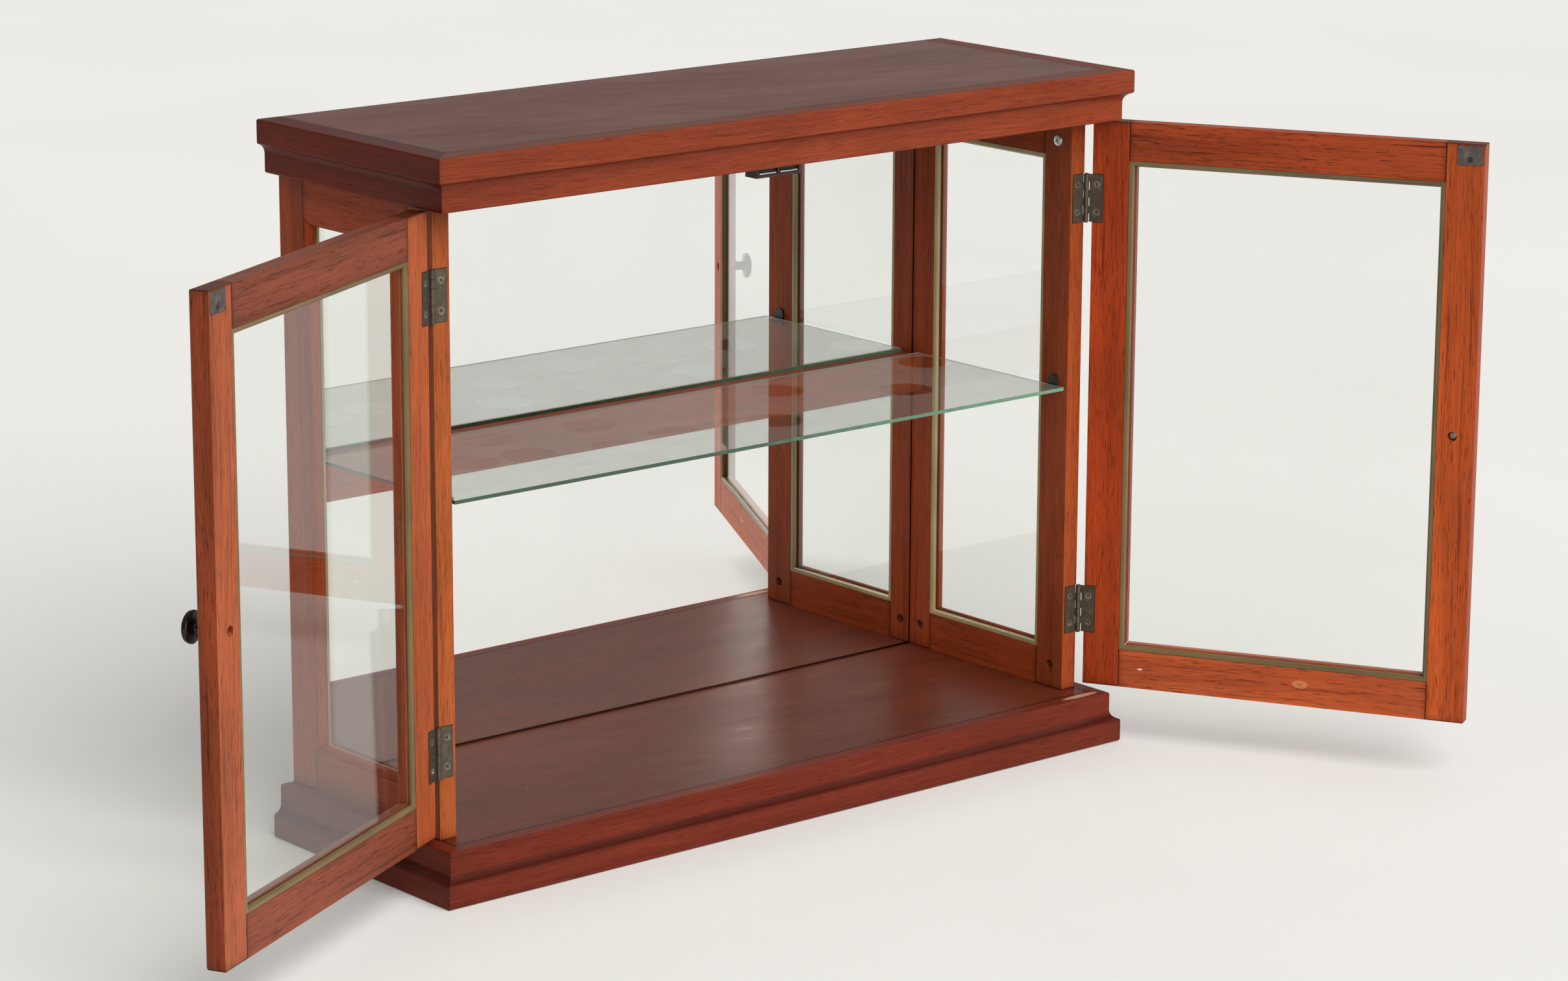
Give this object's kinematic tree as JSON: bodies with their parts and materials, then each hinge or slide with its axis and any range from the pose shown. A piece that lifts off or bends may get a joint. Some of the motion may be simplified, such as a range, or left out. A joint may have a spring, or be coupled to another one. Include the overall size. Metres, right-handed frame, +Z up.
{
  "type": "display case",
  "caption": "Glazed wooden tabletop display case: two hinged glass doors, mirror back, one glass shelf on two metal supports and a back rail, moulded top and base",
  "frame": {"origin": "On the table plane, in the middle of the front base moulding's underside: midway along the case's width and 10 mm behind its front face.", "axes": "+X points to the viewer's right along the case's width, +Y points to the mirror back, +Z is up. Both doors stand open, as the case is stored."},
  "size_m": [1.1518, 0.4896, 0.5705],
  "materials": {
    "frame_wood": "satin",
    "moulding_wood": "satin",
    "veneer": "satin",
    "backing_board": "matte",
    "glass": "gloss",
    "mirror": "gloss",
    "bead_plastic": "gloss",
    "hinge_metal": "satin",
    "dark_bronze": "satin",
    "support_metal": "satin",
    "catch_plastic": "satin"
  },
  "bodies": {
    "case": {"base_moulding_front": "moulding_wood", "base_moulding_left": "moulding_wood", "base_moulding_right": "moulding_wood", "top_moulding_front": "moulding_wood", "top_moulding_left": "moulding_wood", "top_moulding_right": "moulding_wood", "base_rear_rail": "moulding_wood", "top_rear_rail": "moulding_wood", "floor_panel": "veneer", "ceiling_panel": "veneer", "top_panel": "veneer", "left_side_front_stile": "frame_wood", "left_side_rear_stile": "frame_wood", "left_side_top_rail": "frame_wood", "left_side_bottom_rail": "frame_wood", "left_side_glass": "glass", "left_side_retainer": "bead_plastic", "left_shelf_support": "support_metal", "right_side_front_stile": "frame_wood", "right_side_rear_stile": "frame_wood", "right_side_top_rail": "frame_wood", "right_side_bottom_rail": "frame_wood", "right_side_glass": "glass", "right_side_retainer": "bead_plastic", "right_shelf_support": "support_metal", "back_shelf_rail": "frame_wood", "mirror": "mirror", "back_board": "backing_board", "magnetic_catch": "catch_plastic", "left_upper_hinge_case_leaf": "hinge_metal", "left_upper_hinge_pin": "hinge_metal", "left_lower_hinge_case_leaf": "hinge_metal", "left_lower_hinge_pin": "hinge_metal", "right_upper_hinge_case_leaf": "hinge_metal", "right_upper_hinge_pin": "hinge_metal", "right_lower_hinge_case_leaf": "hinge_metal", "right_lower_hinge_pin": "hinge_metal"},
    "left_door": {"left_upper_hinge_door_leaf": "hinge_metal", "left_lower_hinge_door_leaf": "hinge_metal", "left_door_hinge_stile": "frame_wood", "left_door_free_stile": "frame_wood", "left_door_top_rail": "frame_wood", "left_door_bottom_rail": "frame_wood", "left_door_glass": "glass", "left_door_retainer": "bead_plastic", "left_door_knob": "dark_bronze", "left_door_strike_plate": "hinge_metal"},
    "right_door": {"right_upper_hinge_door_leaf": "hinge_metal", "right_lower_hinge_door_leaf": "hinge_metal", "right_door_hinge_stile": "frame_wood", "right_door_free_stile": "frame_wood", "right_door_top_rail": "frame_wood", "right_door_bottom_rail": "frame_wood", "right_door_glass": "glass", "right_door_retainer": "bead_plastic", "right_door_knob": "dark_bronze", "right_door_strike_plate": "hinge_metal"},
    "shelf": {"glass_shelf": "glass"}
  },
  "joints": [
    {"name": "left_door_hinge", "type": "hinge", "parent": "case", "child": "left_door", "pos_m": [-0.3321, 0.0256, 0.28], "axis": [0, 0, 1], "range_deg": [-42.7, 152.3]},
    {"name": "right_door_hinge", "type": "hinge", "parent": "case", "child": "right_door", "pos_m": [0.3321, 0.0256, 0.28], "axis": [0, 0, 1], "range_deg": [-118.7, 76.3]},
    {"name": "shelf_lift", "type": "slide", "parent": "case", "child": "shelf", "axis": [0, 0, 1], "range_m": [0, 0.02]}
  ]
}
